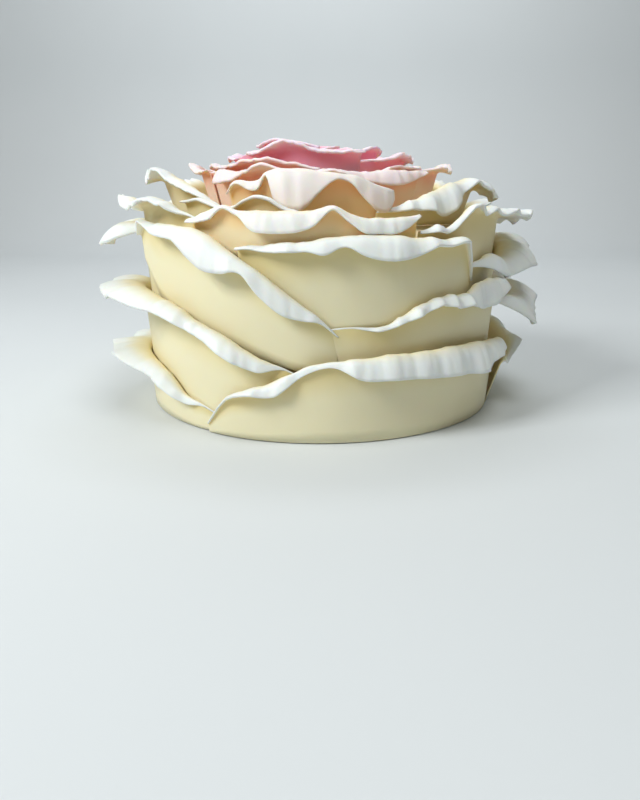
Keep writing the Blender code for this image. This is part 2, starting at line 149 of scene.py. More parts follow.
def coat_finish():
    """Dark tan coat, painted shade for the gaps it shows in, uneven at random in two tones."""
    material, tree, shader, place = paste_finish("coat_in_painted_shade", 0.6, 0.0004)
    cloud = add_node(tree, "ShaderNodeTexNoise", {"Vector": place, "Scale": 18.0, "Detail": 3.0})
    ramp = tree.nodes.new("ShaderNodeValToRGB")
    ramp.color_ramp.elements[0].color = (*COAT_SHADE_TAN, 1.0)
    ramp.color_ramp.elements[1].color = (*COAT_SHADE_TAN_LIGHT, 1.0)
    tree.links.new(cloud, ramp.inputs["Fac"])
    tree.links.new(ramp.outputs["Color"], shader.inputs["Base Color"])
    return material


icing_coat = make_coat()
icing_coat.data.materials.append(coat_finish())
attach(icing_coat, "root")
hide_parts("cake_body")

# Rim petals
# Thin sugar paste, rolled out, cut, frilled along its upper edge with a ball tool and stuck
# to the coat. These short ones go on first, round the cake's top edge.
PETAL_THICKNESS = 1.4
EDGE_THICKNESS = 0.7
END_THINNING = 0.12
COAT_GAP = 0.4
WALL = CAKE_RADIUS + COAT_GAP
FLOOR_GAP = 0.8
HIDDEN_LIP = 0.8
BEND_SHARE = 0.6
CREST_SHARE = 0.14
LEVEL_HOOK = 0.6
RAISED_HOOK = 0.3
RUFFLE_START = 1.5
FULL_RUFFLE_LIP = 12.0
SIDE_SLOPE = 0.07
TUCK_EASE = 16.0
CORNER = 24.0
CORNER_DROP = 0.6
COLUMN_STEP = 1.25
FEWEST_COLUMNS = 12
BODY_ROWS = 6
LIP_ROWS = 22
WRINKLE_STRETCH = 0.5
WRINKLE_GAIN = 2.0
SEED_SPAN = 37
LAPPED_END = 2.1
SHELL_WELD = 0.000002


def across(values, u):
    """Smooth curve through values spread evenly from a petal's left end to its right."""
    if isinstance(values, (int, float)):
        return values
    place = u * (len(values) - 1)
    index = min(int(place), len(values) - 2)
    share = place - index
    here = values[index]
    after = values[index + 1]
    before = values[index - 1] if index > 0 else 2 * here - after
    beyond = values[index + 2] if index + 2 < len(values) else 2 * after - here
    return here + share / 2 * (
        after - before
        + share * (2 * before - 5 * here + 4 * after - beyond)
        + share * share * (3 * (here - after) + beyond - before)
    )


def wave_height(waves, u):
    """Height of one or more waves laid together, each a height, a count and a start."""
    return sum(height * math.sin(2.0 * math.pi * (count * u + start))
               for height, count, start in waves)


def free_share(u, width, radius, tuck):
    """Strength of the lip: 0 where an end is tucked behind a neighbour, 1 where it is free."""
    free = 1.0
    for hidden, from_end in zip(tuck, (u * width, (1.0 - u) * width)):
        if hidden > 0.0:
            ease = math.degrees(TUCK_EASE / radius)
            share = min(max((from_end - hidden) / ease, 0.0), 1.0)
            free *= share * share * (3.0 - 2.0 * share)
    return free


def corner_share(u, width, radius, corner):
    """Share of a petal's full height: less at its free ends, whose upper corners are round."""
    share = 1.0
    length = math.radians(width) * radius
    for size, from_end in zip(corner, (u * length, (1.0 - u) * length)):
        if size > 0.0:
            inward = 1.0 - min(from_end / size, 1.0)
            share *= 1.0 - CORNER_DROP * (1.0 - math.sqrt(1.0 - inward * inward))
    return share


def petal_line(name, left, right, foot, fold, flare, drop, seat, tuck, corner, ruffle):
    """A line with one point for each column of a petal, which holds that column's sizes."""
    width = right - left
    columns = max(FEWEST_COLUMNS, round(math.radians(width) * seat[0] / COLUMN_STEP))
    mesh = bpy.data.meshes.new(name)
    mesh.from_pydata([(column * MM, 0.0, 0.0) for column in range(columns + 1)],
                     [(column, column + 1) for column in range(columns)], [])
    sizes = {"turn": [], "seat": [], "foot": [], "fold": [], "flare": [], "drop": [],
             "sway": [], "free": [], "thick": []}
    for column in range(columns + 1):
        u = column / columns
        free = free_share(u, width, seat[0], tuck)
        tall = corner_share(u, width, seat[0], corner)
        low = across(foot, u)
        out = HIDDEN_LIP + across(flare, u) * free * tall
        hang = across(drop, u) * tall
        hang = HIDDEN_LIP + (hang - HIDDEN_LIP) * free
        strength = min(1.0, (out + abs(hang)) / FULL_RUFFLE_LIP) * free
        fullness = min(1.0, min(u, 1.0 - u) / END_THINNING)
        sizes["turn"].append(math.radians(left + width * u))
        sizes["seat"].append(across(seat, u))
        sizes["foot"].append(low)
        sizes["fold"].append(low + (across(fold, u) - low) * tall)
        sizes["flare"].append(out)
        sizes["drop"].append(hang)
        sizes["sway"].append(strength * wave_height(ruffle, u))
        sizes["free"].append(strength)
        sizes["thick"].append(EDGE_THICKNESS + (PETAL_THICKNESS - EDGE_THICKNESS) * fullness)
    for key, values in sizes.items():
        mesh.attributes.new(key, "FLOAT", "POINT").data.foreach_set("value", values)
    line = bpy.data.objects.new(name, mesh)
    bpy.context.scene.collection.objects.link(line)
    return line


def mix_points(tree, start, end, share):
    """Point a share of the way from one point to another."""
    gap = add_node(tree, "ShaderNodeVectorMath", [end, start], operation="SUBTRACT")
    return add_node(tree, "ShaderNodeVectorMath", [gap, share, start], operation="MULTIPLY_ADD")


def make_petal_tree():
    """Geometry nodes that sweep a petal's body and lip along its line of column sizes."""
    tree = bpy.data.node_groups.new("sugar_petal", "GeometryNodeTree")
    tree.is_modifier = True
    sockets = tree.interface
    sockets.new_socket("Petal Line", in_out="INPUT", socket_type="NodeSocketGeometry")
    for title, kind in (("Body Rows", "Int"), ("Lip Rows", "Int"), ("Bend", "Float"),
                        ("Slope", "Float"), ("Crumple", "Float"), ("Crumple Length", "Float"),
                        ("Seed", "Float"), ("Paste", "Material")):
        sockets.new_socket(title, in_out="INPUT", socket_type="NodeSocket" + kind)
    sockets.new_socket("Petal", in_out="OUTPUT", socket_type="NodeSocketGeometry")
    given = tree.nodes.new("NodeGroupInput").outputs

    def number(operation, *inputs):
        return add_node(tree, "ShaderNodeMath", inputs, operation=operation)

    def point(out, height):
        return add_node(tree, "ShaderNodeCombineXYZ", [out, 0.0, height])

    line = given["Petal Line"]
    count = add_node(tree, "GeometryNodeAttributeDomainSize", {"Geometry": line})
    rows = number("ADD", given["Body Rows"], given["Lip Rows"])
    grid = add_node(tree, "GeometryNodeMeshGrid",
                    {"Size X": 1.0, "Size Y": 1.0, "Vertices X": count,
                     "Vertices Y": number("ADD", rows, 1.0)})
    place = add_node(tree, "ShaderNodeSeparateXYZ",
                     [add_node(tree, "GeometryNodeInputPosition")])
    place = place.node.outputs
    column = number("ROUND", number("MULTIPLY", number("ADD", place["X"], 0.5),
                                    number("SUBTRACT", count, 1.0)))
    row = number("MULTIPLY", number("ADD", place["Y"], 0.5), rows)
    size = {}
    for key in ("turn", "seat", "foot", "fold", "flare", "drop", "sway", "free", "thick"):
        stored = add_node(tree, "GeometryNodeInputNamedAttribute", {"Name": key},
                          data_type="FLOAT")
        size[key] = add_node(tree, "GeometryNodeSampleIndex",
                             {"Geometry": line, "Value": stored, "Index": column},
                             data_type="FLOAT", domain="POINT")

    up = number("MINIMUM", number("DIVIDE", row, given["Body Rows"]), 1.0)
    lip = number("DIVIDE", number("SUBTRACT", row, given["Body Rows"]), given["Lip Rows"])
    lip = number("MAXIMUM", lip, 0.0)
    hang = number("MAXIMUM", size["drop"], 0.0)
    raised = number("MULTIPLY", number("MINIMUM", size["drop"], 0.0), RAISED_HOOK)
    reach = number("ADD", size["flare"], number("ABSOLUTE", size["drop"]))
    rise = number("MINIMUM", given["Bend"], number("MULTIPLY", reach, BEND_SHARE))
    lift = number("MULTIPLY", number("ADD", rise, hang), CREST_SHARE)
    hook = number("ADD", LEVEL_HOOK,
                  number("DIVIDE", number("MULTIPLY", hang, 1.0 - LEVEL_HOOK), reach))
    bend_foot = number("SUBTRACT", size["fold"], rise)
    tall = number("SUBTRACT", bend_foot, size["foot"])
    base = number("ADD", size["seat"], number("MULTIPLY", given["Slope"], tall))
    crest = number("ADD", size["fold"], lift)
    lean = number("MULTIPLY", given["Slope"], number("ADD", rise, lift))
    start = point(base, bend_foot)
    first = point(number("ADD", base, lean), crest)
    second = point(number("ADD", base, number("MULTIPLY", size["flare"], hook)),
                   number("ADD", crest, raised))
    edge = point(number("ADD", base, size["flare"]), number("SUBTRACT", size["fold"], size["drop"]))
    low = mix_points(tree, start, first, lip)
    middle = mix_points(tree, first, second, lip)
    high = mix_points(tree, second, edge, lip)
    before = mix_points(tree, low, middle, lip)
    after = mix_points(tree, middle, high, lip)
    curve = mix_points(tree, before, after, lip)
    spot = mix_points(tree, point(size["seat"], size["foot"]), curve, up)
    along = add_node(tree, "ShaderNodeVectorMath", [after, before], operation="SUBTRACT")
    along = add_node(tree, "ShaderNodeVectorMath", [along], operation="NORMALIZE")
    along = add_node(tree, "ShaderNodeSeparateXYZ", [along]).node.outputs
    facing = point(along["Z"], number("MULTIPLY", along["X"], -1.0))

    arc = number("MULTIPLY", size["turn"], size["seat"])
    wrinkle_place = add_node(
        tree, "ShaderNodeCombineXYZ",
        [number("DIVIDE", arc, given["Crumple Length"]), number("MULTIPLY", lip, WRINKLE_STRETCH),
         given["Seed"]])
    noise = add_node(tree, "ShaderNodeTexNoise",
                     {"Vector": wrinkle_place, "Scale": 1.0, "Detail": 2.0})
    wrinkle = number("MULTIPLY", number("SUBTRACT", noise, 0.5), given["Crumple"])
    wrinkle = number("MULTIPLY", wrinkle, size["free"])
    wrinkle = number("MULTIPLY", wrinkle, number("MULTIPLY", lip, WRINKLE_GAIN))
    push = number("MULTIPLY", size["sway"], number("POWER", lip, RUFFLE_START))
    push = number("ADD", push, wrinkle)
    spot = add_node(tree, "ShaderNodeVectorMath", [facing, push, spot], operation="MULTIPLY_ADD")
    spot = add_node(tree, "ShaderNodeSeparateXYZ", [spot]).node.outputs
    sine = number("SINE", size["turn"])
    cosine = number("MULTIPLY", number("COSINE", size["turn"]), -1.0)
    spot = add_node(tree, "ShaderNodeCombineXYZ",
                    [number("MULTIPLY", spot["X"], sine), number("MULTIPLY", spot["X"], cosine),
                     spot["Z"]])
    spot = add_node(tree, "ShaderNodeVectorMath", [spot, (MM, MM, MM)], operation="MULTIPLY")

    stored = add_node(tree, "GeometryNodeStoreNamedAttribute",
                      {"Geometry": grid, "Name": "lip", "Value": lip},
                      data_type="FLOAT", domain="POINT")
    stored = add_node(tree, "GeometryNodeStoreNamedAttribute",
                      {"Geometry": stored, "Name": "up", "Value": up},
                      data_type="FLOAT", domain="POINT")
    thick = number("MULTIPLY", size["thick"], MM)
    stored = add_node(tree, "GeometryNodeStoreNamedAttribute",
                      {"Geometry": stored, "Name": "thick", "Value": thick},
                      data_type="FLOAT", domain="POINT")
    face = add_node(tree, "GeometryNodeSetPosition", {"Geometry": stored, "Position": spot})
    thick = add_node(tree, "GeometryNodeInputNamedAttribute", {"Name": "thick"},
                     data_type="FLOAT")
    outer = add_node(tree, "GeometryNodeExtrudeMesh",
                     {"Mesh": face, "Offset Scale": thick, "Individual": False}, mode="FACES")
    inner = add_node(tree, "GeometryNodeFlipFaces", {"Mesh": face})
    join = tree.nodes.new("GeometryNodeJoinGeometry")
    tree.links.new(inner, join.inputs[0])
    tree.links.new(outer, join.inputs[0])
    closed = add_node(tree, "GeometryNodeMergeByDistance",
                      {"Geometry": join.outputs[0], "Distance": SHELL_WELD})
    smooth = add_node(tree, "GeometryNodeSetShadeSmooth", {"Geometry": closed})
    real = add_node(tree, "GeometryNodeRealizeInstances", {"Geometry": smooth})
    done = add_node(tree, "GeometryNodeSetMaterial",
                    {"Geometry": real, "Material": given["Paste"]})
    tree.links.new(done, tree.nodes.new("NodeGroupOutput").inputs[0])
    return tree


petal_tree = make_petal_tree()


# Painted shade under the fold: the petal body darkens there to a deeper, warmer colour.
FOLD_SHADE_START = 0.55
FOLD_SHADE_POWER = 1.8
MIX_FIRST_COLOUR = 6
MIX_SECOND_COLOUR = 7
MIX_COLOUR_RESULT = 2
TINT_CLOUD = 0.35


def petal_finish(name, body_colour, lip_colour, lip_start=0.1, lip_full=0.75, glow=0.25):
    """Paste tinted deep in the petal, paler towards its free edge, with painted shade under the
    fold.
    """
    material, tree, shader, place = paste_finish(name, 0.5, 0.0003, glow)
    lip = add_node(tree, "ShaderNodeAttribute", output="Fac", attribute_name="lip")
    cloud = add_node(tree, "ShaderNodeTexNoise", {"Vector": place, "Scale": 30.0, "Detail": 3.0})
    uneven = add_node(tree, "ShaderNodeMath", [cloud, TINT_CLOUD, -TINT_CLOUD / 2],
                      operation="MULTIPLY_ADD")
    share = add_node(tree, "ShaderNodeMath", [lip, uneven], operation="ADD")
    ramp = tree.nodes.new("ShaderNodeValToRGB")
    ramp.color_ramp.interpolation = "EASE"
    ramp.color_ramp.elements[0].position = lip_start
    ramp.color_ramp.elements[0].color = (*body_colour, 1.0)
    ramp.color_ramp.elements[1].position = lip_full
    ramp.color_ramp.elements[1].color = (*lip_colour, 1.0)
    tree.links.new(share, ramp.inputs["Fac"])
    up = add_node(tree, "ShaderNodeAttribute", output="Fac", attribute_name="up")
    # Painted shade: mix the darker colour in near the top of the body, under the lip.
    fold_shade_mask = add_node(tree, "ShaderNodeMapRange", [up, FOLD_SHADE_START, 1.0, 0.0, 1.0],
                         output="Result", interpolation_type="SMOOTHSTEP")
    on_body = add_node(tree, "ShaderNodeMapRange", [share, 0.0, lip_full, 1.0, 0.0],
                       output="Result")
    fold_shade_share = add_node(tree, "ShaderNodeMath", [fold_shade_mask, on_body], operation="MULTIPLY")
    deep = [channel ** FOLD_SHADE_POWER for channel in body_colour]
    mixed = add_node(tree, "ShaderNodeMix",
                     {"Factor": fold_shade_share, MIX_FIRST_COLOUR: ramp.outputs["Color"],
                      MIX_SECOND_COLOUR: (*deep, 1.0)}, MIX_COLOUR_RESULT,
                     data_type="RGBA")
    tree.links.new(mixed, shader.inputs["Base Color"])
    return material


def sugar_petal(node, paste, left, right, foot, fold, flare, drop, seat=(WALL, WALL),
                tuck=(0, 0), corner=(0, 0), slope=SIDE_SLOPE, bend=6.0, ruffle=(),
                crumple=2.6, crumple_length=9.0):
    """One petal as a closed thin shell that stands for the CAD solid of its name."""
    line = petal_line("line_" + node, left, right, foot, fold, flare, drop, seat, tuck, corner,
                      ruffle)
    modifier = line.modifiers.new("petal", "NODES")
    modifier.node_group = petal_tree
    sizes = {"Body Rows": BODY_ROWS, "Lip Rows": LIP_ROWS, "Bend": float(bend),
             "Slope": float(slope), "Crumple": crumple, "Crumple Length": crumple_length,
             "Seed": float(left % SEED_SPAN), "Paste": paste}
    for item in petal_tree.interface.items_tree:
        if item.in_out == "INPUT" and item.name in sizes:
            modifier[item.identifier] = sizes[item.name]
    bpy.context.view_layer.update()
    shown = line.evaluated_get(bpy.context.evaluated_depsgraph_get())
    mesh = bpy.data.meshes.new_from_object(shown)
    mesh.name = "sugar_" + node
    petal = bpy.data.objects.new("sugar_" + node, mesh)
    bpy.context.scene.collection.objects.link(petal)
    bpy.data.objects.remove(line, do_unlink=True)
    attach(petal, "root")
    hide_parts(node)
    return petal


cream_paste = petal_finish("cream_paste", (0.87, 0.79, 0.53), (0.82, 0.86, 0.84))
honey_paste = petal_finish("honey_paste", (0.95, 0.76, 0.50), (0.90, 0.88, 0.82), 0.15, 0.7,
                           glow=0.6)
over = (WALL + LAPPED_END, WALL)
sugar_petal("rim_petal_front", honey_paste, -37, 27, foot=98,
            fold=(117, 119, 122, 123.5, 121, 121, 121, 121, 121, 121.5, 123.2, 120.5, 117.5,
                  117.5, 117.5, 118, 119),
            flare=(6, 6, 6, 5, 6, 7, 7, 7, 7, 6, 5, 6, 7, 7, 7, 6, 4),
            drop=(2, 4, 5, 0.7, 1.5, 9.5, 10.8, 10.8, 10, 7, 1.4, 4.5, 7.2, 7.7, 7.8, 5.2, 1),
            seat=over, bend=4)
sugar_petal("rim_petal_left", cream_paste, -98, -32, foot=98,
            fold=(120, 124, 127, 126, 113), flare=(9, 13, 16, 13, 3), drop=(-2, -3, 3, 1, 1),
            seat=over, tuck=(0, 4), ruffle=((3.0, 2.2, 0.1),),
            crumple=5.0, crumple_length=8.0)
sugar_petal("rim_petal_back_left", cream_paste, -156, -92, foot=98,
            fold=(120, 122, 124, 118), flare=(8, 14, 14, 6), drop=(2, 0, -2, 2), seat=over,
            tuck=(0, 8), ruffle=((3.0, 2.4, 0.6),), corner=(CORNER, 0))
sugar_petal("rim_petal_back", cream_paste, 140, 210, foot=98,
            fold=(118, 123, 121, 118), flare=(8, 14, 15, 6), drop=(2, -1, 2, 2), seat=over,
            tuck=(0, 8), ruffle=((3.2, 2.6, 0.2),), corner=(CORNER, 0))
sugar_petal("rim_petal_right", cream_paste, 86, 146, foot=98,
            fold=(118, 124, 122, 117), flare=(6, 16, 14, 6), drop=(2, 0, 1, 2),
            tuck=(12, 8), ruffle=((3.2, 2.4, 0.8),))

# Upper side petals
# Wide petals on the upper half of the side, pressed on below the top edge. Their lips are
# frilled thin and folded over by hand.
sugar_petal("upper_petal_right", cream_paste, 27, 96, foot=(64, 62, 62, 62),
            fold=(111, 113.2, 112.5, 117.5, 123.5, 122.5, 123, 121, 120, 119.5, 119, 118.5, 118,
                  117, 116, 114),
            flare=(3, 5, 5, 5, 6, 9, 9, 12, 16, 19, 21, 20, 18, 16, 14, 10),
            drop=(1, 3.3, 2.7, 1.5, -0.5, 2.5, 1.5, 3, 0, 4, -1, 4, 0, 4, 1, 2), bend=5,
            ruffle=((1.6, 9.4, 0.1),),
            crumple=4.5, crumple_length=6.0)
sugar_petal("upper_petal_front", cream_paste, -22, 47.5,
            foot=(54, 54, 55, 56, 58, 60, 64, 74),
            fold=(103, 104, 105, 105.7, 106.5, 108, 109.4, 109.6, 109.4, 108.8, 108.2, 107.6, 107,
                  107.4, 104, 83),
            flare=(4, 5, 7, 8, 8, 8, 8, 9, 10, 10, 10, 9, 9, 9, 5, 1),
            drop=(1, 1.5, 3.5, 4.5, 4.5, 8, 5, 9.8, 12, 11.5, 8.5, 4.2, 3, 2.5, 2, 0),
            seat=(WALL + 0.8, WALL + 1.0, WALL + 3.0, WALL + 5.0), bend=5,
            ruffle=((0.6, 7.4, 0.3),),
            crumple=2.4, crumple_length=8.0)
sugar_petal("upper_petal_far_left", cream_paste, -150, -42, foot=60,
            fold=(104, 109, 112, 113, 113, 113, 113, 113, 113, 113, 113, 106, 90, 76),
            flare=(8, 16, 21, 24, 24, 25, 25, 25, 24, 24, 24, 12, 4, 1),
            drop=(2, 4, 6, 6, 6, 7, 8, 9, 10, 12, 14, 10, 4, 0),
            seat=(WALL + 3.2, WALL + 1.5, WALL + 0.8, WALL), ruffle=((2.6, 3.4, 0.1),),
            corner=(CORNER, 0), tuck=(0, 20),
            crumple=4.5, crumple_length=9.0)
sugar_petal("upper_petal_back", cream_paste, 126, 218, foot=62,
            fold=(100, 110, 108, 104), flare=(8, 22, 23, 10), drop=(2, 6, 8, 3),
            seat=(WALL + 3.2, WALL + 1.2), tuck=(0, 10), ruffle=((2.6, 3.4, 0.4),),
            corner=(CORNER, 0))
sugar_petal("upper_petal_left", cream_paste, -62, 5,
            foot=(94, 72, 62, 56, 50, 44, 39, 34),
            fold=(107, 115.5, 114.5, 114.3, 114, 113.3, 112, 108.5, 102.5, 96.5, 90, 82.5, 75,
                  67.5, 58),
            flare=(3, 6, 8, 9, 10, 10, 11, 11, 11, 10, 8, 7, 5, 3, 1),
            drop=(0, 1, 0.5, 5.3, 6.5, 7.3, 13, 16.5, 11.8, 5.2, 11, 12, 7.7, 2, 0),
            seat=(WALL + 8.0, WALL + 5.5, WALL + 3.8, WALL + 3.5, WALL + 3.3, WALL + 3.2, WALL + 3.1,
                  WALL + 3.05, WALL + 1.6), bend=5,
            crumple=2.6, crumple_length=10.0)
sugar_petal("upper_petal_far_right", cream_paste, 45.5, 136,
            foot=(76, 58, 52, 52, 52),
            fold=(90, 95, 96, 94, 97, 100, 103, 104, 104, 104, 104, 104, 104, 103, 102),
            flare=(0, 6, 13, 16, 22, 25, 26, 25, 24, 24, 24, 24, 22, 18, 12),
            drop=(0, 5, 12, 10, 10, 13, 9, 6, 6, 6, 6, 6, 5, 4, 3),
            seat=(WALL + 3.0, WALL + 1.7, WALL + 1.6, WALL + 0.8, WALL), tuck=(0, 12),
            ruffle=((1.8, 4.8, 0.2),),
            crumple=5.0, crumple_length=7.0)

# Middle side petals
# The next tier down. Each stands in front of the feet of the petals above, with the widest
# frills of the cake on its flanks.
sugar_petal("middle_petal_back_left", cream_paste, -168, -92,
            foot=(22, 24, 26, 28), fold=(66, 76, 78, 70), flare=(8, 22, 26, 20),
            drop=(2, 4, 7, 4), seat=(WALL + 4.2, WALL + 2.3, WALL + 1.2), tuck=(0, 12),
            ruffle=((2.8, 2.6, 0.3),), corner=(CORNER, 0))
sugar_petal("middle_petal_far_right", cream_paste, 55, 152, foot=26,
            fold=(60, 70, 71, 72, 74, 76, 78, 78, 78, 78, 76, 74, 70),
            flare=(12, 22, 27, 29, 29, 28, 28, 28, 27, 26, 24, 20, 14),
            drop=(4, 14, 18, 14, 10, 9, 8, 8, 8, 8, 8, 7, 5),
            seat=(WALL + 1.8, WALL + 2.6, WALL + 2.4), tuck=(7, 14), ruffle=((2.6, 4.6, 0.2),),
            crumple=5.0, crumple_length=7.0)
sugar_petal("middle_petal_back", cream_paste, 140, 202, foot=22,
            fold=(66, 74, 76, 72), flare=(8, 22, 21, 12), drop=(2, 6, 7, 4),
            seat=(WALL + 4.3, WALL + 1.4), tuck=(0, 12), ruffle=((2.8, 2.4, 0.7),),
            corner=(CORNER, 0))
sugar_petal("middle_petal_right", cream_paste, 2, 62, foot=32, slope=0.12,
            fold=(62, 63, 63, 63.5, 69, 74, 77.5, 78, 77.5, 82.5, 84, 83.5, 80),
            flare=(1, 2, 3, 4, 5, 6, 8, 9, 9, 8, 9, 11, 6),
            drop=(1, 2, 2.5, 2, 4, 5, 4, 7, 6, 14, 14, 6, 1),
            seat=(WALL + 0.3, WALL + 1.8, WALL + 2.8, WALL + 4.3), tuck=(6, 0), bend=5,
            ruffle=((1.0, 11.5, 0.2),),
            crumple=4.5, crumple_length=5.0)
sugar_petal("middle_petal_left", cream_paste, -102, -4, foot=(26, 24, 6, 5),
            fold=(74, 77, 78, 77.5, 73.5, 63, 49.5, 36), flare=(24, 26, 27, 25, 14, 10, 9, 1),
            drop=(2, 3, 4, 5, 6, 6, 8, 1), seat=(WALL + 2.9, WALL + 2.9), tuck=(0, 4), bend=5,
            ruffle=((2.2, 5.6, 0.3),),
            crumple=4.0, crumple_length=8.0)

# Low side petals
# The last tier, set just clear of the surface the cake stands on, so that the foot of each
# petal is a clean cut line.
sugar_petal("low_petal_right", cream_paste, 69.5, 138, foot=FLOOR_GAP,
            fold=(30, 37, 42, 44, 42, 38), flare=(6, 10, 12, 12, 11, 8),
            drop=(1, 3, 5, 7, 6, 4), seat=(WALL + 6.0, WALL + 6.2, WALL + 7.0),
            ruffle=((2.8, 3.0, 0.1),), slope=0.3, corner=(0, CORNER))
sugar_petal("low_petal_back_right", cream_paste, 130, 191, foot=FLOOR_GAP,
            fold=(34, 42, 44, 36), flare=(8, 21, 21, 12), drop=(2, 5, 6, 3),
            seat=(WALL + 4.8, WALL + 2.6), tuck=(10, 10), ruffle=((2.6, 2.4, 0.5),))
sugar_petal("low_petal_back_left", cream_paste, -177, -96, foot=FLOOR_GAP,
            fold=(32, 40, 42, 12), flare=(8, 21, 22, 16), drop=(2, 5, 5, 3),
            seat=(WALL + 4.8, WALL + 1.2), tuck=(0, 15), ruffle=((2.6, 2.4, 0.9),),
            corner=(CORNER, 0))
sugar_petal("low_petal_left", cream_paste, -106, -26, foot=FLOOR_GAP,
            fold=(34, 36, 38, 38, 33, 18.5, 9), flare=(20, 23, 24, 22, 11, 6, 1),
            drop=(2, 3, 3, 4, 6, 5, 0), seat=(WALL + 3.3, WALL + 4.6), tuck=(0, 8), bend=5,
            ruffle=((2.2, 4.6, 0.5),),
            crumple=4.0, crumple_length=8.0)
sugar_petal("low_petal_front", cream_paste, -33, 68, foot=FLOOR_GAP,
            fold=(6, 23.5, 30, 36, 43, 46.5, 48, 49.3, 49.4, 49.8, 50, 49.5, 48.5, 47, 45),
            flare=(1, 4, 9, 6, 2.5, 3.5, 8, 9, 9, 10, 11, 12, 12, 11, 6),
            drop=(0, 1, 2, 8, 4, 2.8, 10.5, 12.3, 13, 14.5, 15, 16, 10, 8, 4),
            seat=(WALL + 6.8, WALL + 6.1), bend=5, ruffle=((0.7, 10.6, 0.4),),
            crumple=3.2, crumple_length=9.0)

# Petals on the top
# Rings of petals that stand on the domed top and lean outwards, peach and blush deep down
# and nearly white along their dusted edges.
RING_STEP = 2.2
RING_UNEVENNESS = 2.5
RING_UNEVEN_TURN = 2.4
RING_TUCK = 1.25
RING_RIM = (-3.0, 0.0, 1.5, -2.0)


def petal_ring(name, paste, left, right, count, overlap, radius, foot, fold, flare,
               slope, ruffle):
    """Even run of petals, each with its left end tucked under the one before."""
    step = (right - left) / count
    push, waves = ruffle
    for number in range(1, count + 1):
        start = left + step * (number - 1)
        top = fold + RING_UNEVENNESS * math.sin(RING_UNEVEN_TURN * number)
        sugar_petal(f"{name}_{number}", paste, start, start + step + overlap, foot=foot,
                    fold=[top + rise for rise in RING_RIM], flare=(flare, flare, flare / 2),
                    drop=(1, 0, 1), seat=(radius, radius + RING_STEP),
                    tuck=(overlap * RING_TUCK, 0), slope=slope, bend=4,
                    ruffle=((push, waves, 0.37 * number),), crumple=4.5, crumple_length=6.0)


peach_paste = petal_finish("peach_paste", (0.97, 0.72, 0.46), (0.93, 0.83, 0.79), 0.0, 0.45,
                           glow=0.6)
blush_paste = petal_finish("blush_paste", (0.96, 0.66, 0.56), (0.92, 0.76, 0.77), 0.0, 0.6,
                           glow=0.6)
sugar_petal("outer_top_petal_front", peach_paste, -33, 24.6, foot=114.2,
            fold=(131, 135, 136, 135, 136, 140, 141, 141, 141, 140.5, 140, 139.5, 139, 138.5,
                  137.5, 135.5, 133.5, 132, 131),
            flare=(3, 4, 5, 4, 4, 4, 6, 7, 7, 7, 7, 6, 5, 5, 6, 7, 7, 6, 3),
            drop=(2, 1.7, 2, 4, 5, 1.5, 15.5, 19.5, 20.5, 18.5, 12, 6.5, 2.8, 3.5, 7.5, 11.5,
                  13.3, 12, 5),
            seat=(84, 86.2), slope=0.33, bend=4)
sugar_petal("outer_top_petal_near", cream_paste, -46, -6, foot=111,
            fold=(125.5, 126.5, 127, 125.3, 123.2, 123.2, 126, 128.3, 127, 122.7, 120.5),
            flare=4, drop=(0.5, 0.5, 0.5, 1, 1.5, 1.5, 0.5, 0.5, 1, 1.5, 0.5),
            seat=(97.8, 97.8), slope=0.3, bend=2)
sugar_petal("outer_top_petal_left", cream_paste, -106, -32, foot=113,
            fold=(136, 140, 140, 138, 120), flare=(9, 11, 12, 10, 3), drop=(-1, -2, 0, 1, 1),
            seat=(88, 90.2), tuck=(8, 0), slope=0.33, bend=4, ruffle=((3.0, 2.6, 0.1),),
            crumple=5.0, crumple_length=8.0)
sugar_petal("outer_top_petal_right", cream_paste, 19, 80, foot=113,
            fold=(120, 122, 124, 126.5, 129, 132, 134.5, 136.5, 137.5, 138, 137, 136, 135, 134,
                  133),
            flare=(1, 3, 6, 8, 10, 11, 11, 12, 14, 16, 17, 16, 15, 12, 8),
            drop=(0.5, 2, 3.6, 5.5, 9, 14.3, 11.5, 5, 1, 5, 9, 9, 9.5, 8, 3),
            seat=(88.5, 88.5), slope=0.33, bend=4, ruffle=((1.2, 7.6, 0.5),),
            crumple=4.5, crumple_length=6.0)
petal_ring("outer_top_petal", cream_paste, 94, 254, count=3, overlap=6,
           radius=88, foot=113, fold=134, flare=12, slope=0.33, ruffle=(4.0, 2.4))
sugar_petal("inner_top_petal_front", blush_paste, -66, 50, foot=118.5,
            fold=(142, 142, 141, 142), flare=(8, 11, 11, 7), drop=(1, 8, 0, 0, 3, 8, 1),
            seat=(66, 68.2), tuck=(8, 0), slope=0.26, bend=4, ruffle=((1.6, 4.3, 0.1),),
            crumple=4.0, crumple_length=7.0)
petal_ring("inner_top_petal", blush_paste, 44, 294, count=3, overlap=6,
           radius=66, foot=118.5, fold=143, flare=10, slope=0.26, ruffle=(3.5, 2.4))
petal_ring("blush_petal", blush_paste, -100, 260, count=4, overlap=10,
           radius=57, foot=120.5, fold=144, flare=8, slope=0.2, ruffle=(3.0, 1.8))

# The pink heart
# Pink paste petals wrapped round a closed bud, darker inside and paler at their edges.
pink_paste = petal_finish("pink_paste", (0.96, 0.58, 0.68), (0.95, 0.76, 0.86), 0.1, 0.8,
                          glow=0.6)
petal_ring("pink_petal", pink_paste, -80, 280, count=4, overlap=16, radius=45,
           foot=122.5, fold=152, flare=9, slope=0.2, ruffle=(3.4, 2.4))
petal_ring("heart_petal", pink_paste, -140, 220, count=3, overlap=20, radius=29,
           foot=124, fold=157, flare=6, slope=0.12, ruffle=(2.4, 1.8))
sugar_petal("heart_bud", pink_paste, 0, 330, foot=124.5,
            fold=(157, 159, 160, 158), flare=(2, 4, 3, 4), drop=0, seat=(3.0, 17.0),
            slope=0.03, bend=2.0, ruffle=((0.8, 3.0, 0.0),))

